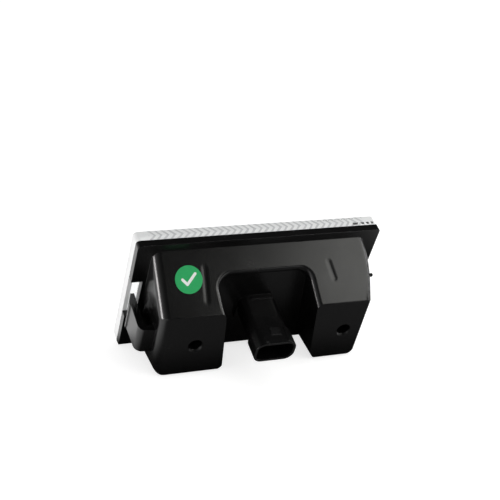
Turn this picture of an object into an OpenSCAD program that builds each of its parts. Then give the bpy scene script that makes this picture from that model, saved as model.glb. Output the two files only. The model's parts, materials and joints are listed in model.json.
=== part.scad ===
// Number plate lamp: clear prismatic lens on a black moulded housing with a wedge back,
// two legs, a connector socket between them and a snap arm at one end.
// X runs along the lamp, Y across it, Z out of the back. The origin is the middle of the lens face.

/* [Lens] */
// Length of the lens and of the flange
lamp_l = 93; // [92.5:0.5:96]
// Width of the lens and of the flange
lamp_w = 53; // [52:0.5:56]
// Height of the clear edge of the lens
lens_h = 4.4; // [4:0.1:5]
// Thickness of the lens face
lens_face = 1.8; // [1.6:0.1:2]
// Thickness of the wall round the lens
lens_wall = 1.6; // [1.4:0.1:1.8]
// Distance from one prism to the next
prism_pitch = 2.4; // [2:0.1:3]
// Height of the prisms
prism_h = 1.6; // [1.2:0.1:1.8]
// Radius of the lens and flange corners
corner_r = 1.4; // [1:0.1:2]

/* [Flange] */
// Thickness of the flange
flange_t = 2.9; // [2.5:0.1:3.2]
// Upper end of the notch for the snap arm
notch_top = 8.8; // [8:0.1:10]
// Lower end of the notch for the snap arm
notch_low = -8.9; // [-10:0.1:-8.4]
// Depth of the notch from the flange end
notch_d = 4.2; // [3.9:0.1:4.5]

/* [Body] */
// Strip of the flange beyond the body at the snap arm's end
strip_left = 5.6; // [5.2:0.1:6]
// Strip of the flange beyond the body at the other end, at the widest part of the body
strip_right = 4.2; // [4:0.1:4.6]
// Draft of the body's left wall in degrees
draft = 2.2; // [1.5:0.1:3]
// Radius of the bulge of the right wall, which hooks behind the panel
crown_r = 30; // [27:0.5:34]
// Height of the widest part of that bulge above the flange
crown_h = 8.2; // [7.6:0.1:8.8]
// Strip of the flange above the sloped face
strip_top = 3.2; // [2.9:0.1:3.6]
// Run of the sloped face across the lamp
slope_run = 14.3; // [13.8:0.1:14.8]
// Height of the fold above the flange
fold_h = 18.9; // [18.4:0.1:19.4]
// Distance from the flange's lower edge to the leg ends
foot_in = 8.5; // [8:0.1:9]
// Rise of the leg ends from the fold to their lower edge
end_rise = 3; // [2.6:0.1:3.4]
// Radius of the fold
fold_r = 0.9; // [0.8:0.05:1.1]
// Radius of the body's left edges
edge_left_r = 3.3; // [2.8:0.1:3.6]
// Radius of the left leg's lower corner at its end
foot_left_r = 4.3; // [3.8:0.1:4.8]
// Radius between the sloped face and the right wall
edge_right_r = 2.6; // [2:0.1:3]
// Radius of the right leg's lower corner
foot_right_r = 2.4; // [2:0.1:2.8]
// Radius of the inner corners of the legs
inner_r = 3.4; // [3:0.1:3.8]
// Radius along the lower edge of the leg ends
end_r = 0.6; // [0.5:0.05:0.8]
// Wall thickness of the moulding
wall = 1.8; // [1.6:0.1:2]
// Diameter of the two holes in the leg ends
hole_d = 5; // [4.6:0.1:5.2]
// Height of the floor of the two holes above the flange
hole_floor = 7.9; // [7:0.1:9]
// Diameter of the small pilot at the bottom of each hole
pilot_d = 2.4; // [2:0.1:2.8]
// Distance of the left hole from the left leg's outer wall
hole_left_in = 14.9; // [14.4:0.1:15.4]
// Distance of the right hole from the right leg's outer wall
hole_right_in = 9.9; // [9.5:0.1:10.3]

/* [Recess] */
// Width of the left leg at the fold, up to the recess
leg_left_l = 25; // [24.5:0.1:25.6]
// Width of the right leg at the fold, from the recess to its widest part
leg_right_l = 23.1; // [22.6:0.1:23.6]
// Lean of both inner faces along the sloped face, in millimetres per millimetre
recess_lean = 0.12; // [0.1:0.01:0.14]
// Distance from the upper edge of the sloped face to the recess
recess_drop = 6.1; // [5.8:0.1:6.5]
// Height of the recess floor above the flange under the connector's upper side
floor_h = 7.7; // [7.4:0.1:8]
// Tilt of the recess floor in degrees
floor_tilt = 3.9; // [3:0.1:4.5]
// Radius of the recess corners
recess_r = 4.6; // [4:0.1:5]
// Radius of the rolled lip round the recess
lip_r = 2; // [1.6:0.1:2.4]

/* [Connector socket] */
// Width of the socket's mouth collar
mouth_l = 15.5; // [15:0.1:16]
// Height of the socket's mouth collar
mouth_w = 9.4; // [9:0.1:9.8]
// Distance from the fold down to the upper side of the collar
mouth_drop = 3.6; // [3.4:0.1:3.9]
// Middle of the socket along the lamp
mouth_x = -0.4; // [-0.8:0.1:0]
// Height of the mouth above the flange
mouth_h = 31.2; // [30:0.2:32]
// Length of the collar
collar_h = 7.1; // [6.6:0.1:7.6]
// How far the barrel stands inside the collar's outline
barrel_in = 0.7; // [0.5:0.1:0.9]
// Corner radius of the collar
mouth_r = 3.5; // [3.2:0.1:3.8]
// Wall of the barrel
socket_wall = 1.2; // [1.1:0.1:1.4]
// Wall of the collar round the mouth
collar_wall = 0.9; // [0.8:0.05:1.1]
// Depth of the socket
socket_depth = 14; // [12:0.5:15]

/* [Snap arm] */
// Upper edge of the snap arm
arm_top = 0.6; // [0.2:0.1:1]
// Width of the snap arm
arm_w = 12.2; // [11.5:0.1:12.6]
// Outer face of the arm, measured from the flange end
arm_in = 0.4; // [0.4:0.1:0.6]
// How far the catch stands out of the arm
catch_out = 0.4; // [0.3:0.1:0.4]
// Thickness of the arm
arm_t = 2.5; // [2.3:0.1:2.6]
// Height of the arm's bend above the flange
bend_h = 16.7; // [16:0.1:17.4]
// Rise of the arm's lower edge towards the bend in degrees
arm_rise = 5; // [3:0.5:6]

/* [Circuit board] */
// Gap between the board's ends and the outside of the body
board_in = 3.5; // [3.2:0.1:4]
// Gap between the board's upper edge and the upper edge of the sloped face
board_top_in = 6.3; // [6:0.1:7]
// Gap between the board's lower edge and the outside of the legs
board_low_in = 3; // [2.7:0.1:3.4]
// Thickness of the board
board_t = 1.2; // [1:0.1:1.6]
// Height of the board's LED side above the lens face
board_z = 7.9; // [7.7:0.1:8.1]
// Distance from the board's end to the first LED of a row
led_in = 8; // [7:0.2:9]
// Distance from the board's edge to the outer rows
row_in = 5.5; // [5:0.1:6]
// Width of a terminal
pin_w = 1.5; // [1.2:0.1:1.8]
// Thickness of a terminal
pin_t = 0.8; // [0.6:0.1:0.9]
// Distance between the two terminals
pin_pitch = 4.6; // [4.4:0.1:5]
// Diameter of the two posts that hold the board
post_d = 2.6; // [2.2:0.1:3]

/* [Sticker] */
// Diameter of the round sticker
sticker_d = 10; // [9:0.2:11]
// Thickness of the sticker
sticker_t = 0.15; // [0.1:0.05:0.2]
// Distance of the sticker's middle from the left leg's outer wall
sticker_in = 11.9; // [11.4:0.1:12.4]
// Distance of the sticker's middle from the fold, along the sloped face
sticker_v = 13.3; // [13:0.1:13.6]

/* [Hidden] */
$fn = 48;
eps = 0.01;
led_n = 6;
row_n = 3;
led_count = led_n*row_n;

// Heights of the main planes
flange_z = lens_h;
back_z = lens_h + flange_t;
fold_z = back_z + fold_h;
end_z = fold_z + end_rise;
mouth_z = back_z + mouth_h;
flange_end = -lamp_l/2;

// Places along and across the lamp, from its ends and edges
body_left = strip_left - lamp_l/2;
crown_x = lamp_l/2 - strip_right;
crown_z = back_z + crown_h;
body_right = right_x(back_z);
recess_left = body_left + leg_left_l;
recess_right = crown_x - leg_right_l;
hole_left_x = body_left + hole_left_in;
hole_right_x = crown_x - hole_right_in;
slope_y = lamp_w/2 - strip_top;
fold_y = slope_y - slope_run;
end_y = foot_in - lamp_w/2;
hole_y = (fold_y + end_y)/2;
recess_top = slope_y - recess_drop;
mouth_y = fold_y - mouth_drop;
sticker_x = body_left + sticker_in;
ridge_left_x = recess_left - 6.9;
ridge_right_x = recess_right + 7.4;

// Outline of the body seen from the end, as [y, z]: slope top, fold, leg end, bottom at the flange
slope_a = [slope_y, back_z];
slope_f = [fold_y, fold_z];
leg_e = [end_y, end_z];
low_g = [low_at(back_z), back_z];
slope_dir = (slope_f - slope_a)/norm(slope_f - slope_a);
slope_tilt = atan2(slope_dir[1], -slope_dir[0]);

// Seal groove
seal_w = 1.6;
seal_t = 0.8;
seal_x = (body_left + body_right)/2;
seal_l = body_right - body_left + 1.8;
seal_top = slope_y + 1;
seal_low = low_at(flange_z) - 1.6;

// Board pieces
board_l = body_right - body_left - 2*board_in;
board_x = (body_left + body_right)/2;
board_w = slope_y - end_y - board_top_in - board_low_in;
board_y = (slope_y - board_top_in + end_y + board_low_in)/2;
led_pitch = (board_l - 2*led_in)/(led_n - 1);
row_pitch = (board_w - 2*row_in)/(row_n - 1);
led_l = 3.5;
led_w = 2.8;
led_h = 1.9;
pin_y = mouth_y - mouth_w/2;
pin_top = mouth_z - 4.5;
post_fit = 0.1;

// Unit vector, left-hand normal and the centre of an arc of radius r tangent to both sides of corner b
function unit(v) = v/norm(v);
function left(v) = [-v[1], v[0]];
function arc_centre(a, b, c, r) = let (n1 = left(unit(b - a)), n2 = left(unit(c - b)))
    b + r*(n1 + n2)/(1 + n1*n2);
// Points of an arc
function arc(c, r, a0, a1, n) = [for (i = [0:n]) let (a = a0 + (a1 - a0)*i/n) c + r*[cos(a), sin(a)]];
// Rounded rectangle about the origin
function round_rect(l, w, r, n = 7) = concat(
    arc([l/2 - r, w/2 - r], r, 0, 90, n), arc([r - l/2, w/2 - r], r, 90, 180, n),
    arc([r - l/2, r - w/2], r, 180, 270, n), arc([l/2 - r, r - w/2], r, 270, 360, n));
// Left and right wall of the body at height z
function left_x(z) = body_left + (z - back_z)*tan(draft);
function right_x(z) = crown_x - crown_r + sqrt(crown_r*crown_r - (z - crown_z)*(z - crown_z));
// Lower side of the body at height z
function low_at(z) = end_y - (end_z - z)*tan(draft);
// How far a point [y, z] lies past the fold, along the sloped face
function past_fold(q) = (q - slope_f)*slope_dir;
// Point on the sloped face, v back from the fold and w out of the face, as [y, z]
function on_slope(v, w = 0) = slope_f - v*slope_dir + w*[slope_dir[1], -slope_dir[0]];

// Rounded plate between two heights
module plate(l, w, r, z0, z1) {
    translate([0, 0, z0]) linear_extrude(z1 - z0) polygon(round_rect(l, w, r));
}

// Outline of the wedge seen from the end, as [y, z], moved in by o: the sloped face, the fold, the leg
// ends and the lower side
function wedge_outline(o) = let (
        rf = max(fold_r - o, 0.3),
        re = max(end_r - o, 0.3),
        fold_c = arc_centre(slope_a, slope_f, leg_e, o + rf),
        leg_c = arc_centre(slope_f, leg_e, low_g, o + re),
        top = slope_a + o*[-slope_dir[1], slope_dir[0]] - 3*slope_dir,
        turn = 90 - slope_tilt,
        end_a = atan2(slope_f[1] - leg_e[1], slope_f[0] - leg_e[0]),
        low_z = flange_z - 2,
        foot = [low_at(low_z) + o, low_z],
        leg_low = leg_c + re*[-cos(draft), sin(draft)])
    concat(
        [for (i = [0:6]) top + (fold_c + rf*[cos(turn), sin(turn)] - top)*i/6],
        arc(fold_c, rf, turn + 9, 90 + end_a - 9, 3),
        arc(leg_c, re, 90 + end_a, 180 - draft, 4),
        [for (i = [1:6]) leg_low + (foot - leg_low)*i/6]);
// Radius of the left and of the right edge at each point of that outline
left_radii = concat([for (i = [0:10]) edge_left_r], [for (i = [0:4]) foot_left_r],
    [for (i = [1:6]) foot_left_r*(1 - i*0.2)]);
right_radii = concat([for (i = [0:6]) edge_right_r*(1.2 - 0.05*i)], [1.8, 1.3, 1, 0.8],
    [for (i = [0:4]) 0], [for (i = [1:6]) foot_right_r]);
// Height of the leg ends at y
function leg_end_z(y) = fold_z + (fold_y - y)*end_rise/(fold_y - end_y);

// Wedge body: the outline at steps round the edges of both end walls. Inset 0 is the outside
module wedge(inset) {
    steps = inset > 0 ? [0, 30, 60, 90] : [0, 15, 30, 45, 60, 75, 90];
    rf = max(foot_right_r - inset, 0.6);
    re = max(end_r - inset, 0.3);
    pts = concat(
        [for (a = steps, i = [0:len(left_radii) - 1])
            let (r = max(left_radii[i] - inset, 0.5), q = wedge_outline(inset + r*(1 - sin(a)))[i])
            [left_x(q[1]) + inset + r*(1 - cos(a)), q[0], q[1]]],
        [for (a = steps, i = [0:len(right_radii) - 1]) if (right_radii[i] > 0)
            let (r = max(right_radii[i] - inset, 0.5), q = wedge_outline(inset + r*(1 - sin(a)))[i])
            [right_x(q[1]) - inset - r*(1 - cos(a)), q[0], q[1]]],
        // Lower corner of the right leg at its end
        [for (a = steps, k = [0, 1])
            let (in = inset + k*re, r = rf - k*re, y = low_at(end_z) + in + r*(1 - sin(a)),
                z = leg_end_z(y) - inset - (1 - k)*re)
            [right_x(z) - in - r*(1 - cos(a)), y, z]]);
    hull() polyhedron(pts, [[for (i = [0:len(pts) - 1]) i]]);
}

// Outline of the recess in the plane of the sloped face, as [x, v past the fold], grown by o
function recess_outline(o) = let (
        low = 30,
        high = -(recess_top - fold_y)/cos(slope_tilt),
        r = recess_r + o,
        left_c = [recess_left + high*recess_lean + recess_r, high + recess_r],
        right_c = [recess_right + high*recess_lean - recess_r, high + recess_r])
    concat(
        [[recess_left + low*recess_lean - o, low]], arc(left_c, r, 180, 270, 8),
        arc(right_c, r, 270, 360, 8), [[recess_right + low*recess_lean + o, low]]);

// Recess between the legs: a rolled lip on the sloped face, straight sides and a tilted floor
module recess(grow) {
    lip = [for (a = [0:18:90]) [lip_r*(1 - cos(a)), -lip_r*(1 - sin(a))]];
    rings = [for (q = concat([[0, -40]], lip, [[lip_r, 12]])) [for (p = recess_outline(q[0] + grow)) [p[0], p[1], q[1]]]];
    n = len(rings[0]);
    m = len(rings);
    sides = [for (j = [0:m - 2], i = [0:n - 1]) let (k = (i + 1)%n)
        [j*n + i, (j + 1)*n + i, (j + 1)*n + k, j*n + k]];
    caps = [[for (i = [0:n - 1]) i], [for (i = [n - 1:-1:0]) (m - 1)*n + i]];
    above_floor(grow) translate([0, fold_y, fold_z]) rotate([-slope_tilt, 0, 0]) mirror([0, 1, 0])
        polyhedron([for (ring = rings, p = ring) p], concat(sides, caps), convexity = 4);
}

// What of the children lies above the recess floor, lowered by grow
module above_floor(grow) {
    intersection() {
        children();
        translate([-lamp_l/2, mouth_y, back_z + floor_h - grow]) rotate([-floor_tilt, 0, 0])
            translate([0, -60, 0]) cube([lamp_l, 100, 60]);
    }
}

// Rounds the upright corner between a leg's inner face and the lower side of the body; the inner
// face is at x0 at the fold and leans as the recess does
module leg_corner(x0, lean) {
    e = 0.6;
    function ring(z) = let (
            y = low_at(z),
            x = x0 + lean*past_fold([y, z]))
        [for (p = concat(arc([x - inner_r, y + inner_r], inner_r, -90, 0, 6),
            [[x + e, y + inner_r], [x + e, y - e], [x - inner_r, y - e]])) [p[0], p[1], z]];
    low = ring(back_z + floor_h);
    high = ring(end_z + 2);
    n = len(low);
    polyhedron(concat(low, high), concat(
        [for (i = [0:n - 1]) let (k = (i + 1)%n) [i, k, n + k, n + i]],
        [[for (i = [n - 1:-1:0]) i], [for (i = [0:n - 1]) n + i]]), convexity = 4);
}

// Snap arm seen from above, as [x, z], from the tip round the catch and the bend into the body wall
function arm_outline() = let (
        out = flange_end + arm_in,
        inn = out + arm_t,
        bz = back_z + bend_h,
        wx = left_x(bz) + 0.9,
        slot = min((wx - 0.9 - inn)/2, 1.7),
        tip = flange_z + 0.6)
    concat(
        [[inn, tip], [inn - 1.4, tip], [out - catch_out, back_z + 2.2], [out - catch_out, back_z + 2.8],
            [out, back_z + 3.2]],
        arc([out + 3.2, bz - 4.1], 3.2, 180, 110, 5),
        [[wx, bz - 0.7]],
        [[wx, bz - 4.4]],
        arc([wx - 0.9 - slot, bz - 5], slot, 30, 88, 4),
        arc([inn + slot, bz - 5], slot, 90, 180, 5));

module snap_arm() {
    difference() {
        translate([0, arm_top, 0]) rotate([90, 0, 0]) linear_extrude(arm_w) polygon(arm_outline());
        // The tip is narrower, so that it stays inside the notch of the flange
        translate([flange_end - 2, arm_top - arm_w - 1, flange_z])
            cube([8, arm_w + 1 - arm_top + notch_low + 1.2, flange_t + 0.6]);
        // Its lower edge rises towards the bend
        translate([flange_end - 2, arm_top - arm_w, back_z + 4]) rotate([-arm_rise, 0, 0])
            translate([0, -5, 0]) cube([12, 5, bend_h]);
    }
}

// Soft ridge on the sloped face over an inner rib, from v back from the fold, turned by lean
module ridge(x, v, len, lean) {
    p = on_slope(v, -3.65);
    translate([x, p[0], p[1]]) rotate([-slope_tilt, 0, 0]) rotate([0, 0, lean]) hull() {
        sphere(4, $fn = 48);
        translate([0, len, 0]) sphere(4, $fn = 48);
    }
}

// Connector socket between the legs
module socket_shape(grow, z0, z1) {
    translate([mouth_x, mouth_y - mouth_w/2, 0])
        plate(mouth_l + 2*grow, mouth_w + 2*grow, mouth_r + grow, z0, z1);
}

module socket_plinth() {
    half = mouth_l/2;
    translate([mouth_x, 0, back_z + floor_h - wall]) linear_extrude(wall + 1.9)
        polygon([[-half, pin_y - mouth_w/2], [-half, pin_y], [-half/3, mouth_y - 0.2], [half*0.72, mouth_y - 0.2],
            [half, pin_y], [half, pin_y - mouth_w/2]]);
}

// Hollow of the barrel on the board side of the socket's floor
module socket_core() {
    socket_shape(-socket_wall - barrel_in, back_z, mouth_z - socket_depth - wall);
}

module socket() {
    difference() {
        union() {
            socket_shape(-barrel_in, back_z + floor_h - wall, mouth_z);
            socket_shape(0, mouth_z - collar_h, mouth_z);
            // Locking ramp and two guide ribs on the upper side
            translate([mouth_x - 1.1, mouth_y, mouth_z - collar_h]) rotate([90, 0, 90]) linear_extrude(3.6)
                polygon([[-1, 0], [0.8, 0], [0.8, 0.6], [0.2, 3.4], [-1, 3.4]]);
            translate([mouth_x - 4.2, mouth_y - 1, mouth_z - collar_h]) cube([0.9, 1.3, collar_h - 0.8]);
            translate([mouth_x + 4.3, mouth_y - 1.4, mouth_z - collar_h]) cube([1.1, 1.7, collar_h - 0.8]);
            socket_plinth();
        }
        socket_shape(-socket_wall - barrel_in, mouth_z - socket_depth, mouth_z - collar_h + 1 + eps);
        socket_shape(-collar_wall, mouth_z - collar_h + 1, mouth_z + 1);
        socket_core();
        for (i = [0, 1]) terminal_place(i)
            translate([-pin_w/2, -pin_t/2, back_z]) cube([pin_w, pin_t, mouth_z - back_z - socket_depth + 1]);
    }
}

module terminal_place(i) {
    translate([mouth_x + (i - 0.5)*pin_pitch, pin_y, 0]) children();
}

// Hole in a leg end with its boss outside it
module leg_hole(x) {
    bottom = back_z + hole_floor;
    rim = (fold_z + end_z)/2 - 0.3;
    translate([x, hole_y, bottom]) cylinder(d = hole_d, h = end_z + 1 - bottom);
    translate([x, hole_y, bottom - 3]) cylinder(d = pilot_d, h = 4);
    // Chamfer of the rim, wider on the lower side because the leg end slopes
    translate([x, hole_y, rim]) cylinder(d1 = hole_d, d2 = hole_d + 4, h = 2);
}

module leg_boss(x) {
    translate([x, hole_y, back_z + hole_floor - 5]) cylinder(d = hole_d + 3, h = fold_z + 1.5 - back_z - hole_floor + 5);
}

// Flange with sharper corners at the right end
module flange_plate() {
    plate(lamp_l, lamp_w, corner_r, flange_z, back_z);
    translate([lamp_l/4, 0, 0]) plate(lamp_l/2, lamp_w, corner_r/2, flange_z, back_z);
}

module housing_solid() {
    difference() {
        flange_plate();
        translate([flange_end - 1, notch_low, flange_z - 1])
            cube([notch_d + 1, notch_top - notch_low, flange_t + 2]);
    }
    intersection() {
        union() {
            wedge(0);
            ridge(ridge_left_x, 8.2, 9, -6);
            ridge(ridge_right_x, 9.4, 6.4, 14);
        }
        translate([-lamp_l/2, -lamp_w/2, flange_z]) cube([lamp_l, lamp_w, 60]);
    }
}

// Small nub on the right wall
module nub() {
    translate([right_x(fold_z - 8.2) - 1, fold_y + 4.2, fold_z - 8.7]) cube([1.5, 1, 0.9]);
}

// Hollow for the board, open towards the lens
module hollow() {
    difference() {
        intersection() {
            wedge(wall);
            translate([-lamp_l/2, -lamp_w/2, flange_z - 1]) cube([lamp_l, lamp_w/2 + slope_y - wall, 60]);
        }
        recess(wall);
        leg_boss(hole_left_x);
        leg_boss(hole_right_x);
    }
}

// Stepped post under a boss: the board seats on the step
module board_post(x) {
    step = board_z + board_t;
    translate([x, hole_y, step]) cylinder(d = post_d + 2, h = back_z + hole_floor - 4 - step);
    translate([x, hole_y, board_z - 0.8]) cylinder(d = post_d, h = board_t + 1);
}

module housing() {
    color("#161616") {
        difference() {
            union() {
                housing_solid();
                snap_arm();
                nub();
            }
            recess(0);
            above_floor(0) leg_corner(recess_left, recess_lean);
            above_floor(0) mirror([1, 0, 0]) leg_corner(-recess_right, -recess_lean);
            hollow();
            socket_core();
            leg_hole(hole_left_x);
            leg_hole(hole_right_x);
            seal_ring(flange_z - 1, flange_z + seal_t);
        }
        socket();
        board_post(hole_left_x);
        board_post(hole_right_x);
    }
}

module seal_ring(z0, z1) {
    mid = (seal_top + seal_low)/2;
    w = seal_top - seal_low;
    translate([seal_x, mid, 0]) difference() {
        plate(seal_l, w, 3, z0, z1);
        plate(seal_l - 2*seal_w, w - 2*seal_w, 3 - seal_w, z0 - 1, z1 + 1);
    }
}

module lens_seal() {
    color("#2b2b2b") seal_ring(flange_z, flange_z + seal_t);
}

module lens() {
    inner_l = lamp_l - 2*lens_wall;
    inner_w = lamp_w - 2*lens_wall;
    n = floor((inner_l - 8)/prism_pitch);
    x0 = -n*prism_pitch/2;
    color("#eef3f4", 0.6) {
        difference() {
            plate(lamp_l, lamp_w, corner_r, 0, lens_h);
            plate(inner_l, inner_w, 1, lens_face, lens_h + 1);
        }
        // Rib that presses on the seal
        seal_ring(lens_face - 0.3, lens_h);
        translate([0, inner_w/2 + 0.2, 0]) rotate([90, 0, 0]) linear_extrude(inner_w + 0.4)
            polygon(concat([[x0, lens_face - 0.3]], [for (i = [0:n - 1]) each [[x0 + i*prism_pitch, lens_face],
                [x0 + (i + 0.5)*prism_pitch, lens_face + prism_h]]], [[-x0, lens_face], [-x0, lens_face - 0.3]]));
    }
}

module circuit_board() {
    color("#e8e8e2") difference() {
        translate([board_x, board_y, 0]) plate(board_l, board_w, 1, board_z, board_z + board_t);
        for (x = [hole_left_x, hole_right_x]) translate([x, hole_y, board_z - 1])
            cylinder(d = post_d + 2*post_fit, h = board_t + 2);
        for (i = [0, 1]) terminal_place(i)
            translate([-pin_w/2, -pin_t/2, board_z - 1]) cube([pin_w, pin_t, board_t + 2]);
    }
}

// LED i, counted along each row
module led(i) {
    col = (i - 1)%led_n;
    row = floor((i - 1)/led_n);
    translate([board_x + (col - (led_n - 1)/2)*led_pitch, board_y + (row - (row_n - 1)/2)*row_pitch, board_z - led_h])
        color("#f2efdc") difference() {
            translate([-led_l/2, -led_w/2, 0]) cube([led_l, led_w, led_h]);
            translate([0, 0, -0.1]) cylinder(d = 2.3, h = 0.4);
        }
}

module chip(x, y, l, w, h, c) {
    color(c) translate([board_x + x - l/2, board_y + y - w/2, board_z - h]) cube([l, w, h]);
}

module resistor(i) {
    chip((i - 2)*2*led_pitch, row_pitch/2, 3.2, 1.6, 0.6, "#202020");
}

module diode() {
    chip(-led_pitch, -row_pitch/2, 4.3, 2.6, 2, "#1c1c1c");
}

module capacitor() {
    chip(led_pitch, -row_pitch/2, 3.2, 1.6, 1.2, "#b39a78");
}

// Flat terminal from the board's LED side into the socket, with a chamfered tip
module terminal(i) {
    z0 = board_z;
    color("#c9b37a") terminal_place(i) translate([0, pin_t/2, 0]) rotate([90, 0, 0]) linear_extrude(pin_t)
        polygon([[-pin_w/2, z0], [pin_w/2, z0], [pin_w/2, pin_top - 0.8], [pin_w/4, pin_top],
            [-pin_w/4, pin_top], [-pin_w/2, pin_top - 0.8]]);
}

module sticker() {
    p = on_slope(sticker_v);
    color("#1fa65a") translate([sticker_x, p[0], p[1]]) rotate([-slope_tilt, 0, 0])
        cylinder(d = sticker_d, h = sticker_t);
}

housing();
lens();
lens_seal();
circuit_board();
for (i = [1:led_count]) led(i);
for (i = [1:3]) resistor(i);
diode();
capacitor();
terminal(0);  // terminal_1
terminal(1);  // terminal_2
sticker();
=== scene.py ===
"""Number plate lamp: looks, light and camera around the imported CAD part. Metres, same frame as the CAD."""
import bpy
import bmesh
import json
import math
from mathutils import Matrix, Vector

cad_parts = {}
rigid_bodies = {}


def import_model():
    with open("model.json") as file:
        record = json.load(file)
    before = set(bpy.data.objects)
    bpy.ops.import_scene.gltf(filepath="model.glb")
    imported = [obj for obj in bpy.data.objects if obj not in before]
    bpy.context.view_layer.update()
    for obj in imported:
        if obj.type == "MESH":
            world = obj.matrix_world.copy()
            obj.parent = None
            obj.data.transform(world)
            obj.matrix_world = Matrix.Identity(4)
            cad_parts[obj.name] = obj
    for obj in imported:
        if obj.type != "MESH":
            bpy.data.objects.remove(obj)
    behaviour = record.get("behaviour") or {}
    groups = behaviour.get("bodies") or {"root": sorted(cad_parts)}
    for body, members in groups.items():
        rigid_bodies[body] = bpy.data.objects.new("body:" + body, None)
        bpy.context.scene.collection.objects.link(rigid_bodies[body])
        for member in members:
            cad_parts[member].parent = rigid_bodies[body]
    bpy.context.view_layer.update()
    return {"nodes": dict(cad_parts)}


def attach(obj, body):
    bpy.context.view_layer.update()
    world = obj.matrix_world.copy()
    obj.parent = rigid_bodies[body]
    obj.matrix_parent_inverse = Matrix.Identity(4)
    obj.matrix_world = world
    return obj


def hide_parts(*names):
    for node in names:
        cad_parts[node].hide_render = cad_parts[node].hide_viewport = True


for old in list(bpy.data.objects):
    bpy.data.objects.remove(old)

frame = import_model()
NODES = frame["nodes"]
MM = 0.001
scene = bpy.context.scene


# ---------------------------------------------------------------- camera
# Fitted to the photograph: right, down and forward axes in the part's frame, place in metres
CAM_RIGHT = Vector((0.928004, 0.212286, 0.306173))
CAM_DOWN = Vector((-0.070591, -0.706717, 0.703966))
CAM_FORWARD = Vector((0.365820, -0.674897, -0.640851))
CAM_PLACE = Vector((-0.149411, 0.288642, 0.261603))
CAM_LENS = 79.919

cam_data = bpy.data.cameras.new("camera")
cam_data.sensor_fit = "HORIZONTAL"
cam_data.sensor_width = 36.0
cam_data.lens = CAM_LENS
cam_data.clip_start = 0.01
cam_data.clip_end = 50.0
camera = bpy.data.objects.new("camera", cam_data)
scene.collection.objects.link(camera)
basis = Matrix((CAM_RIGHT, -CAM_DOWN, -CAM_FORWARD)).transposed()
camera.matrix_world = Matrix.Translation(CAM_PLACE) @ basis.to_4x4()
scene.camera = camera
scene.view_settings.view_transform = "Standard"


# ---------------------------------------------------------------- node helpers
class Tree:
    """Small wrapper that adds nodes to a node tree and links them."""

    def __init__(self, owner):
        owner.use_nodes = True
        self.tree = owner.node_tree
        self.tree.nodes.clear()

    def add(self, kind, inputs=None, **props):
        n = self.tree.nodes.new(kind)
        for k, v in props.items():
            setattr(n, k, v)
        for k, v in (inputs or {}).items():
            if isinstance(v, bpy.types.NodeSocket):
                self.tree.links.new(v, n.inputs[k])
            else:
                n.inputs[k].default_value = v
        return n

    def math(self, op, a, b=0.0, c=None, clamp=False):
        ins = {0: a, 1: b}
        if c is not None:
            ins[2] = c
        return self.add("ShaderNodeMath", ins, operation=op, use_clamp=clamp).outputs[0]

    def mul(self, a, b):
        return self.math("MULTIPLY", a, b)

    def larger(self, a, b):
        return self.math("MAXIMUM", a, b)

    def within(self, value, low, high):
        """1 where a value lies between low and high, otherwise 0."""
        away = self.math("ABSOLUTE", self.math("SUBTRACT", value, (low + high) / 2))
        return self.math("LESS_THAN", away, (high - low) / 2)

    def ramp(self, value, points):
        n = self.add("ShaderNodeValToRGB", {0: value})
        el = n.color_ramp.elements
        while len(el) < len(points):
            el.new(0.5)
        for e, (p, c) in zip(el, points):
            e.position = p
            e.color = (*c, 1.0)
        return n.outputs[0]

    def blend(self, share, a, b):
        """Colour a where share is 0 and colour b where it is 1."""
        n = self.add("ShaderNodeMix", {"Factor": share, "A": a, "B": b}, data_type="RGBA")
        return [s for s in n.outputs if s.type == "RGBA"][0]

    def place(self, scale=(1, 1, 1)):
        """Object coordinates, which are the part's own frame in metres, scaled."""
        co = self.add("ShaderNodeTexCoord").outputs["Object"]
        return self.add("ShaderNodeMapping", {"Vector": co, "Scale": scale}).outputs[0]

    def noise(self, vector, scale, detail=3.0, rough=0.5):
        return self.add("ShaderNodeTexNoise", {"Vector": vector, "Scale": scale, "Detail": detail,
                                               "Roughness": rough}).outputs[0]

    def bump(self, strength, distance, height):
        return self.add("ShaderNodeBump", {"Strength": strength, "Distance": distance,
                                           "Height": height}).outputs[0]


def material(name):
    mat = bpy.data.materials.new(name)
    return mat, Tree(mat)


def finish_material(t, shader):
    out = t.add("ShaderNodeOutputMaterial")
    t.tree.links.new(shader, out.inputs["Surface"])


# ---------------------------------------------------------------- materials
def plastic(name, colour, rough, edge=0.0, grain=0.12, spec=0.5):
    """Moulded plastic: fine grain, slight flow marks, roughness that varies, softened edges."""
    mat, t = material(name)
    fine = t.noise(t.place(), 5200.0, 2.0, 0.6)
    flow = t.noise(t.place((1.0, 5.0, 5.0)), 60.0, 4.0, 0.55)
    height = t.math("ADD", t.mul(fine, 0.35), t.mul(flow, 0.65))
    ins = {"Strength": grain, "Distance": 0.00012, "Height": height}
    if edge:
        ins["Normal"] = t.add("ShaderNodeBevel", {"Radius": edge}, samples=6).outputs[0]
    bump = t.add("ShaderNodeBump", ins).outputs[0]
    cloud = t.noise(t.place(), 90.0, 5.0, 0.6)
    tone = t.ramp(cloud, [(0.3, tuple(c * 0.86 for c in colour)), (0.7, tuple(c * 1.14 for c in colour))])
    roughness = t.math("MULTIPLY_ADD", cloud, 0.12, rough - 0.06)
    sh = t.add("ShaderNodeBsdfPrincipled", {"Base Color": tone, "Roughness": roughness, "Normal": bump,
                                            "Specular IOR Level": spec})
    finish_material(t, sh.outputs[0])
    return mat


# Lens: where its outer side walls, its rounded corners and its rim begin
LENS_END, LENS_SIDE, LENS_CORNER, LENS_RIM = 46.3 * MM, 26.3 * MM, 71.9 * MM, 4.35 * MM
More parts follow.
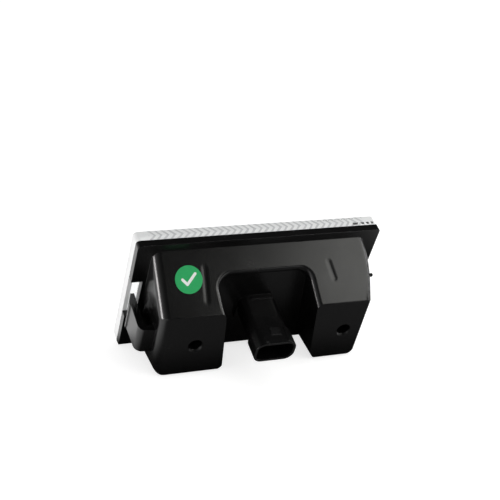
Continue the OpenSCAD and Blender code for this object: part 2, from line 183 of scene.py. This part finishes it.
# Herringbone marks on the side walls: height of their point, slant, pitch, half width and end
MARK_MID, MARK_SLANT, MARK_PITCH, MARK_HALF, MARK_END = 2.3 * MM, 0.9, 2.5 * MM, 0.2, 41.5 * MM
# Painted reflections of the black flange in the prisms: dark patches at the lens's right end, and the row of
# dots beside them
REFLECTION_PATCHES = {"pitch": 2.6 * MM, "part": 0.6, "along": (36.8 * MM, 45.2 * MM), "high": (2.8 * MM, 3.9 * MM)}
REFLECTION_DOTS = {"pitch": 1.2 * MM, "part": 0.4, "along": (23.0 * MM, 38.0 * MM), "high": (0.5 * MM, 0.9 * MM)}
REFLECTION_DOT_LEVEL = 0.6


def clear_lens():
    """Clear moulded plastic with faint waviness. Its side walls and rim are frosted, with faint grey
    herringbone marks, and painted reflections of the black flange as dark patches and dots at its right
    end. It lets light through for shadow rays."""
    mat, t = material("clear_lens")
    wave = t.noise(t.place(), 260.0, 3.0, 0.5)
    bump = t.bump(0.12, 0.0001, wave)
    roughness = t.math("MULTIPLY_ADD", wave, 0.05, 0.015)
    glass = t.add("ShaderNodeBsdfPrincipled", {"Base Color": (0.985, 0.992, 0.995, 1.0),
                                               "Roughness": roughness, "IOR": 1.49,
                                               "Transmission Weight": 1.0, "Normal": bump})
    spot = t.add("ShaderNodeSeparateXYZ", {0: t.add("ShaderNodeTexCoord").outputs["Object"]})
    x, y, z = spot.outputs[0], spot.outputs[1], spot.outputs[2]
    ax, ay = t.math("ABSOLUTE", x), t.math("ABSOLUTE", y)
    corner = t.math("GREATER_THAN", t.math("ADD", ax, ay), LENS_CORNER)
    side = t.larger(t.math("GREATER_THAN", ax, LENS_END), t.math("GREATER_THAN", ay, LENS_SIDE))
    outer = t.larger(corner, side)
    rim = t.math("GREATER_THAN", z, LENS_RIM)

    # Herringbone marks, which leave plain blocks at the lens's ends
    fold = t.math("ABSOLUTE", t.math("SUBTRACT", z, MARK_MID))
    run = t.math("DIVIDE", t.math("ADD", x, t.mul(fold, MARK_SLANT)), MARK_PITCH)
    step = t.math("FRACT", t.math("ADD", run, t.mul(wave, 0.5)))
    stripe = t.math("LESS_THAN", t.math("ABSOLUTE", t.math("SUBTRACT", step, 0.5)), MARK_HALF)
    mark = t.mul(stripe, t.math("LESS_THAN", ax, MARK_END))

    def reflection_dashes(pitch, part, along, high):
        """Row of short dark marks along X on the upper side wall: painted reflections of the black flange.
        """
        turn = t.math("ADD", t.math("DIVIDE", x, pitch), t.mul(wave, 1.6))
        on = t.math("LESS_THAN", t.math("FRACT", turn), part)
        wall = t.math("GREATER_THAN", y, LENS_SIDE)
        return t.mul(t.mul(on, t.within(x, *along)), t.mul(t.within(z, *high), wall))

    faint = t.mul(mark, t.math("MULTIPLY_ADD", wave, 0.4, 0.25))
    # Painted reflection: dark patches and dots that stand in for the black flange mirrored in the prisms
    painted_reflection = t.larger(reflection_dashes(**REFLECTION_PATCHES), t.mul(reflection_dashes(**REFLECTION_DOTS), REFLECTION_DOT_LEVEL))
    tone = t.ramp(t.larger(faint, painted_reflection), [(0.0, (0.86, 0.87, 0.87)), (0.5, (0.58, 0.59, 0.60)),
                                          (1.0, (0.02, 0.02, 0.02))])
    milk = t.add("ShaderNodeBsdfPrincipled", {"Base Color": tone, "Roughness": 0.42})
    share = t.mul(t.larger(outer, rim), t.math("MULTIPLY_ADD", wave, 0.1, 0.83))
    body = t.add("ShaderNodeMixShader", {0: share, 1: glass.outputs[0], 2: milk.outputs[0]})
    clear = t.add("ShaderNodeBsdfTransparent", {"Color": (0.95, 0.96, 0.96, 1.0)})
    shadow = t.add("ShaderNodeLightPath").outputs["Is Shadow Ray"]
    mix = t.add("ShaderNodeMixShader", {0: shadow, 1: body.outputs[0], 2: clear.outputs[0]})
    finish_material(t, mix.outputs[0])
    return mat


def terminal_metal():
    """Brass-coloured flat metal, brushed along its length."""
    mat, t = material("terminal_metal")
    brush = t.noise(t.place((1.0, 1.0, 0.05)), 9000.0, 3.0, 0.6)
    bump = t.bump(0.15, 0.00004, brush)
    tone = t.ramp(brush, [(0.3, (0.55, 0.47, 0.31)), (0.7, (0.72, 0.63, 0.43))])
    roughness = t.math("MULTIPLY_ADD", brush, 0.15, 0.2)
    sh = t.add("ShaderNodeBsdfPrincipled", {"Base Color": tone, "Roughness": roughness, "Metallic": 1.0,
                                            "Normal": bump})
    finish_material(t, sh.outputs[0])
    return mat


def circuit_board():
    """White solder mask with a faint grid of raised tracks."""
    mat, t = material("board")
    white, black = (1, 1, 1, 1), (0, 0, 0, 1)
    tracks = t.add("ShaderNodeTexBrick", {"Vector": t.place(), "Color1": white, "Color2": white,
                                          "Mortar": black, "Scale": 1.0, "Mortar Size": 0.00022,
                                          "Mortar Smooth": 0.3, "Brick Width": 0.0116,
                                          "Row Height": 0.00525}).outputs[0]
    cloud = t.noise(t.place(), 140.0, 4.0, 0.6)
    mask = t.ramp(cloud, [(0.3, (0.70, 0.71, 0.69)), (0.7, (0.76, 0.77, 0.75))])
    colour = t.blend(tracks, (0.60, 0.63, 0.58, 1.0), mask)
    bump = t.bump(0.4, 0.00006, tracks)
    roughness = t.math("MULTIPLY_ADD", cloud, 0.15, 0.3)
    sh = t.add("ShaderNodeBsdfPrincipled", {"Base Color": colour, "Roughness": roughness, "Normal": bump})
    finish_material(t, sh.outputs[0])
    return mat


# LED: sides of its box and radius of its filling in millimetres, and the share of its height that shows it
LED_SIDES = (3.5, 2.8, 0.0)
GEL_RADIUS = 1.16
GEL_SHARE = 0.2


def led_body():
    """White cup with a round yellow filling, told apart by the place inside each LED's own box."""
    mat, t = material("led_body")
    co = t.add("ShaderNodeTexCoord").outputs["Generated"]
    flat = t.add("ShaderNodeVectorMath", {0: co, 1: (0.5, 0.5, 0.0)}, operation="SUBTRACT").outputs[0]
    mm = t.add("ShaderNodeVectorMath", {0: flat, 1: LED_SIDES}, operation="MULTIPLY").outputs[0]
    away = t.add("ShaderNodeVectorMath", {0: mm}, operation="LENGTH").outputs["Value"]
    low = t.add("ShaderNodeSeparateXYZ", {0: co}).outputs[2]
    inside = t.mul(t.math("LESS_THAN", away, GEL_RADIUS), t.math("LESS_THAN", low, GEL_SHARE))
    speck = t.noise(t.place(), 1800.0, 4.0, 0.6)
    gel = t.ramp(speck, [(0.3, (0.80, 0.62, 0.13)), (0.7, (0.90, 0.74, 0.20))])
    cup = t.ramp(speck, [(0.3, (0.76, 0.75, 0.70)), (0.7, (0.84, 0.83, 0.79))])
    colour = t.blend(inside, cup, gel)
    roughness = t.math("MULTIPLY_ADD", inside, -0.2, t.math("MULTIPLY_ADD", speck, 0.1, 0.35))
    bump = t.bump(0.15, 0.00005, speck)
    sh = t.add("ShaderNodeBsdfPrincipled", {"Base Color": colour, "Roughness": roughness, "Normal": bump})
    finish_material(t, sh.outputs[0])
    return mat


# Sloped face of the housing: a point on it, and the directions up it and out of it
SLOPE_UP = Vector((0.0, 0.603, -0.797))
SLOPE_OUT = Vector((0.0, 0.797, 0.603))
SLOPE_POINT = Vector((0.0, 9.0, 26.2)) * MM

# Sticker on that face: its middle, and in millimetres the corners and half width of the tick
STICKER_MID = Vector((-29.0, 17.03, 15.62)) * MM
TICK = ((-2.3, 0.1), (-0.7, -1.7), (2.5, 1.9))
TICK_HALF = 0.5 * MM


def sticker_green():
    """Round green label with a generic white tick."""
    mat, t = material("sticker_green")
    co = t.add("ShaderNodeTexCoord").outputs["Object"]
    rel = t.add("ShaderNodeVectorMath", {0: co, 1: STICKER_MID}, operation="SUBTRACT").outputs[0]

    def along(axis):
        return t.add("ShaderNodeVectorMath", {0: rel, 1: axis}, operation="DOT_PRODUCT").outputs["Value"]

    u = along(Vector((1.0, 0.0, 0.0)))
    v = along(SLOPE_UP)

    def distance(a, b):
        """Distance in metres from the segment a to b, given in millimetres."""
        ax, ay = a[0] * MM, a[1] * MM
        dx, dy = (b[0] - a[0]) * MM, (b[1] - a[1]) * MM
        n2 = dx * dx + dy * dy
        pu, pv = t.math("SUBTRACT", u, ax), t.math("SUBTRACT", v, ay)
        k = t.math("DIVIDE", t.math("ADD", t.mul(pu, dx), t.mul(pv, dy)), n2, clamp=True)
        eu = t.math("SUBTRACT", pu, t.mul(k, dx))
        ev = t.math("SUBTRACT", pv, t.mul(k, dy))
        return t.math("SQRT", t.math("ADD", t.mul(eu, eu), t.mul(ev, ev)))

    near = t.math("MINIMUM", distance(TICK[0], TICK[1]), distance(TICK[1], TICK[2]))
    ink = t.math("LESS_THAN", near, TICK_HALF)
    speck = t.noise(t.place(), 2600.0, 3.0, 0.6)
    green = t.ramp(speck, [(0.3, (0.016, 0.35, 0.102)), (0.7, (0.022, 0.42, 0.126))])
    colour = t.blend(ink, green, (0.84, 0.86, 0.83, 1.0))
    bump = t.bump(0.08, 0.00008, speck)
    roughness = t.math("MULTIPLY_ADD", speck, 0.15, 0.4)
    sh = t.add("ShaderNodeBsdfPrincipled", {"Base Color": colour, "Roughness": roughness, "Normal": bump,
                                            "Specular IOR Level": 0.25})
    finish_material(t, sh.outputs[0])
    return mat


BLACK = plastic("black_plastic", (0.0017, 0.0017, 0.0018), 0.25, edge=0.25 * MM, grain=0.06)
RUBBER = plastic("seal", (0.022, 0.022, 0.023), 0.62, grain=0.35, spec=0.3)
CHIP_BLACK = plastic("chip_black", (0.012, 0.012, 0.013), 0.5, grain=0.2)
CHIP_TAN = plastic("chip_tan", (0.42, 0.32, 0.21), 0.5, grain=0.2)
CLEAR = clear_lens()
METAL = terminal_metal()
BOARD = circuit_board()
LED_BODY = led_body()
GREEN = sticker_green()


# ---------------------------------------------------------------- pieces
MERGE = 0.002 * MM
FLAT_ANGLE = math.radians(0.4)
SHARP_ANGLE = math.radians(34.0)


def refined(node, mat, change):
    """Copy of a CAD node's mesh with merged flat faces and smooth roundings, shown in place of it."""
    mesh = NODES[node].data.copy()
    mesh.name = node + "_skin"
    bm = bmesh.new()
    bm.from_mesh(mesh)
    bmesh.ops.remove_doubles(bm, verts=bm.verts, dist=MERGE)
    bmesh.ops.dissolve_degenerate(bm, edges=bm.edges, dist=MERGE)
    bmesh.ops.dissolve_limit(bm, angle_limit=FLAT_ANGLE, verts=bm.verts, edges=bm.edges)
    change(bm)
    for f in bm.faces:
        f.smooth = True
    for e in bm.edges:
        e.smooth = len(e.link_faces) == 2 and e.calc_face_angle(0.0) < SHARP_ANGLE
    bm.to_mesh(mesh)
    bm.free()
    mesh.materials.clear()
    mesh.materials.append(mat)
    piece = bpy.data.objects.new(node + "_skin", mesh)
    scene.collection.objects.link(piece)
    wn = piece.modifiers.new("weighted", "WEIGHTED_NORMAL")
    wn.keep_sharp = True
    wn.weight = 90
    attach(piece, "root")
    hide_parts(node)
    return piece


def dress(node, mat):
    """Gives a CAD node a better material."""
    for s in NODES[node].material_slots:
        s.material = mat


# Prisms of the lens: height of their roots, range that holds their crests, share of their height kept
PRISM_ROOT, PRISM_CRESTS, PRISM_SHARE = 1.8 * MM, (1.85 * MM, 3.6 * MM), 0.28


def shallow_prisms(bm):
    """Lowers the crests of the lens's prisms, which the photograph shows as faint marks only."""
    for v in bm.verts:
        if PRISM_CRESTS[0] < v.co.z < PRISM_CRESTS[1]:
            v.co.z = PRISM_ROOT + (v.co.z - PRISM_ROOT) * PRISM_SHARE


# The CAD's two ridges on the slope: middle and half width along X, the range up the slope from
# SLOPE_POINT and out of it that holds them, and their height
RIDGE_LEFT, RIDGE_LEFT_HALF = -22.8 * MM, 2.6 * MM
RIDGE_RIGHT, RIDGE_RIGHT_HALF = 26.6 * MM, 3.4 * MM
RIDGE_UP = (5.5 * MM, 19.5 * MM)
RIDGE_OUT = (-0.03 * MM, 0.6 * MM)
RIDGE_HIGH = 0.35 * MM
# The sink marks that they become: depth, and how far the left one is leaned and drawn out
SINK_DEEP = 0.19 * MM
SINK_TOP, SINK_RUN = 18.9 * MM, 12.4 * MM
SINK_SHIFT, SINK_LEAN, SINK_LONGER = 1.1, 0.95, 3.2 * MM
# Locking ramp of the socket: its range, and the line that its top follows
RAMP_LEFT, RAMP_RIGHT = -1.6 * MM, 2.2 * MM
RAMP_OUT, RAMP_LOW = 5.5 * MM, 28.0 * MM
RAMP_TOP, RAMP_TOP_Z, RAMP_TILT = 5.9 * MM, 31.4 * MM, 0.075


def sink_marks(bm):
    """Turns the CAD's two ridges on the slope into shallow sink marks, because the photograph's marks are
    hollows, and gives the socket's locking ramp a flatter top."""
    for v in bm.verts:
        rel = v.co - SLOPE_POINT
        out, up = rel.dot(SLOPE_OUT), rel.dot(SLOPE_UP)
        left = abs(v.co.x - RIDGE_LEFT) < RIDGE_LEFT_HALF
        right = abs(v.co.x - RIDGE_RIGHT) < RIDGE_RIGHT_HALF
        if (left or right) and RIDGE_OUT[0] < out < RIDGE_OUT[1] and RIDGE_UP[0] < up < RIDGE_UP[1]:
            edge = 1.0 - math.sqrt(max(0.0, 1.0 - max(0.0, out) / RIDGE_HIGH))
            v.co -= SLOPE_OUT * (out + SINK_DEEP * edge * edge)
            if left:
                low = (SINK_TOP - up) / SINK_RUN
                v.co.x -= (SINK_SHIFT - SINK_LEAN * low) * MM
                v.co -= SLOPE_UP * (SINK_LONGER * low)
        if RAMP_LEFT < v.co.x < RAMP_RIGHT and v.co.y > RAMP_OUT and v.co.z > RAMP_LOW:
            v.co.y = RAMP_TOP - RAMP_TILT * (v.co.z - RAMP_TOP_Z)


refined("housing", BLACK, sink_marks)
refined("lens", CLEAR, shallow_prisms)
dress("lens_seal", RUBBER)
dress("circuit_board", BOARD)
dress("diode", CHIP_BLACK)
dress("capacitor", CHIP_TAN)
dress("sticker", GREEN)
for name in NODES:
    if name.startswith("led_"):
        dress(name, LED_BODY)
    elif name.startswith("resistor_"):
        dress(name, CHIP_BLACK)
    elif name.startswith("terminal_"):
        dress(name, METAL)


# ---------------------------------------------------------------- floor
# The lamp leans on the lens's lower edge and on its leg ends
FLOOR_UP = Vector((0.0, 0.96015, -0.27949))
FLOOR_POINT = Vector((0.0, -0.0265, 0.0))
FLOOR_GAP = 0.0002
FLOOR_CELLS, FLOOR_HALF = 8, 3.0
FLOOR_GLOW = 0.72
FLOOR_PALE = 0.52
# Painted shade on the floor in front of the lamp, seen only by glossy rays, so that gloss on the lamp
# mirrors it dark: its near, left and right borders
SHADE_NEAR, SHADE_LEFT, SHADE_RIGHT = (-0.004, 0.008), (-0.062, -0.046), (0.095, 0.066)
SHADE_DARK = 0.9
# A band inside it where the painted shade is fainter: its near and far borders, and its level
BAND_NEAR, BAND_FAR, BAND_LEVEL = (0.030, 0.044), (0.22, 0.07), 0.15


def floor_mesh():
    side = Vector((1.0, 0.0, 0.0))
    back = FLOOR_UP.cross(side)
    start = FLOOR_POINT - FLOOR_UP * FLOOR_GAP
    n = FLOOR_CELLS
    steps = [FLOOR_HALF * (2 * i / n - 1) for i in range(n + 1)]
    bm = bmesh.new()
    grid = [[bm.verts.new(start + side * a + back * b) for a in steps] for b in steps]
    for j in range(n):
        for i in range(n):
            bm.faces.new((grid[j][i], grid[j][i + 1], grid[j + 1][i + 1], grid[j + 1][i]))
    bm.normal_update()
    if bm.faces[:][0].normal.dot(FLOOR_UP) < 0:
        bmesh.ops.reverse_faces(bm, faces=bm.faces)
    mesh = bpy.data.meshes.new("floor")
    bm.to_mesh(mesh)
    bm.free()
    return mesh


def floor_material():
    """Pale floor that is white to the camera, takes shadows and can't be seen from below. To glossy rays it
    carries a painted shade in front of the lamp.
    """
    mat, t = material("floor")
    path = t.add("ShaderNodeLightPath")
    glossy = path.outputs["Is Glossy Ray"]
    seen = t.larger(path.outputs["Is Camera Ray"], path.outputs["Is Transmission Ray"])
    spot = t.add("ShaderNodeSeparateXYZ", {0: t.add("ShaderNodeNewGeometry").outputs["Position"]})
    x, z = spot.outputs[0], spot.outputs[2]

    def rise(value, border):
        return t.add("ShaderNodeMapRange", {"Value": value, "From Min": border[0], "From Max": border[1]},
                     interpolation_type="SMOOTHSTEP").outputs[0]

    # Painted shade, seen only by glossy rays: glow and colour of the floor are darkened in front of the lamp
    shade = t.mul(rise(z, SHADE_NEAR), t.mul(rise(x, SHADE_LEFT), rise(x, SHADE_RIGHT)))
    band = t.mul(t.mul(rise(z, BAND_NEAR), rise(z, BAND_FAR)), BAND_LEVEL)
    mirrored = t.mul(glossy, t.math("MULTIPLY_ADD", shade, t.math("SUBTRACT", band, 1.0), 1.0))
    dimmed = t.math("SUBTRACT", 1.0, t.mul(glossy, t.mul(shade, SHADE_DARK)))
    albedo = t.mul(FLOOR_PALE, dimmed)
    grey = t.add("ShaderNodeCombineXYZ", {0: albedo, 1: albedo, 2: albedo}).outputs[0]
    pale = t.add("ShaderNodeBsdfDiffuse", {"Color": grey})
    level = t.mul(t.larger(seen, mirrored), FLOOR_GLOW)
    glow = t.add("ShaderNodeEmission", {"Color": (1, 1, 1, 1), "Strength": level})
    lit = t.add("ShaderNodeAddShader", {0: pale.outputs[0], 1: glow.outputs[0]})
    back_side = t.add("ShaderNodeNewGeometry").outputs["Backfacing"]
    clear = t.add("ShaderNodeBsdfTransparent")
    mix = t.add("ShaderNodeMixShader", {0: back_side, 1: lit.outputs[0], 2: clear.outputs[0]})
    finish_material(t, mix.outputs[0])
    return mat


floor = bpy.data.objects.new("floor", floor_mesh())
floor.data.materials.append(floor_material())
scene.collection.objects.link(floor)


# ---------------------------------------------------------------- light
def softbox(name, place, target, size_x, size_y, radiance, colour=(1.0, 1.0, 1.0)):
    """Rectangular studio light of a given radiance, aimed at a point."""
    data = bpy.data.lights.new(name, "AREA")
    data.shape = "RECTANGLE"
    data.size, data.size_y = size_x, size_y
    data.energy = radiance * math.pi * size_x * size_y
    data.color = colour
    obj = bpy.data.objects.new(name, data)
    scene.collection.objects.link(obj)
    aim = (Vector(target) - Vector(place)).normalized()
    turn = aim.to_track_quat("-Z", "Y").to_matrix().to_4x4()
    obj.matrix_world = Matrix.Translation(Vector(place)) @ turn


AIM = (0.0, 0.005, 0.015)
softbox("key", (0.310, 0.330, 0.205), (0.03, 0.016, 0.017), 0.24, 0.24, 2.85, (1.0, 1.0, 0.96))
softbox("left", (-0.44, -0.01, 0.028), AIM, 0.17, 0.15, 19.0, (1.0, 0.97, 0.97))
softbox("right", (0.50, 0.19, 0.07), AIM, 0.07, 0.14, 9.5)
softbox("overhead", (0.165, 0.432, -0.055), (0.0, 0.023, 0.008), 0.26, 0.03, 10.0)

# The mirrored room falls from white at one height along an axis to a level at another
ROOM_ABOVE = {"axis": FLOOR_UP, "low": 0.0, "high": 0.75, "level": 0.02}
ROOM_FRONT = {"axis": (0.35, 0.1, 0.93), "low": 0.15, "high": 0.95, "level": 0.0}
AMBIENT = 0.62

world = bpy.data.worlds.new("studio")
scene.world = world
tw = Tree(world)
path = tw.add("ShaderNodeLightPath")
glossy = path.outputs["Is Glossy Ray"]
seen = tw.larger(path.outputs["Is Camera Ray"], path.outputs["Is Transmission Ray"])


def room(axis, low, high, level):
    """1 where a direction lies below low along the axis, falling to the given level at high."""
    co = tw.add("ShaderNodeTexCoord").outputs["Generated"]
    toward = tw.add("ShaderNodeVectorMath", {0: co, 1: axis}, operation="DOT_PRODUCT").outputs["Value"]
    return tw.add("ShaderNodeMapRange", {"Value": toward, "From Min": low, "From Max": high, "To Min": 1.0,
                                         "To Max": level}).outputs[0]


# Mirrored, the room is white at the horizon behind the lamp, darker overhead and on the camera's side
mirrored = tw.mul(glossy, tw.mul(room(**ROOM_ABOVE), room(**ROOM_FRONT)))
ambient = tw.mul(tw.math("SUBTRACT", 1.0, tw.larger(seen, glossy)), AMBIENT)
strength = tw.math("ADD", tw.larger(seen, mirrored), ambient)
bg = tw.add("ShaderNodeBackground", {"Color": (1, 1, 1, 1), "Strength": strength})
tw.tree.links.new(bg.outputs[0], tw.add("ShaderNodeOutputWorld").inputs["Surface"])
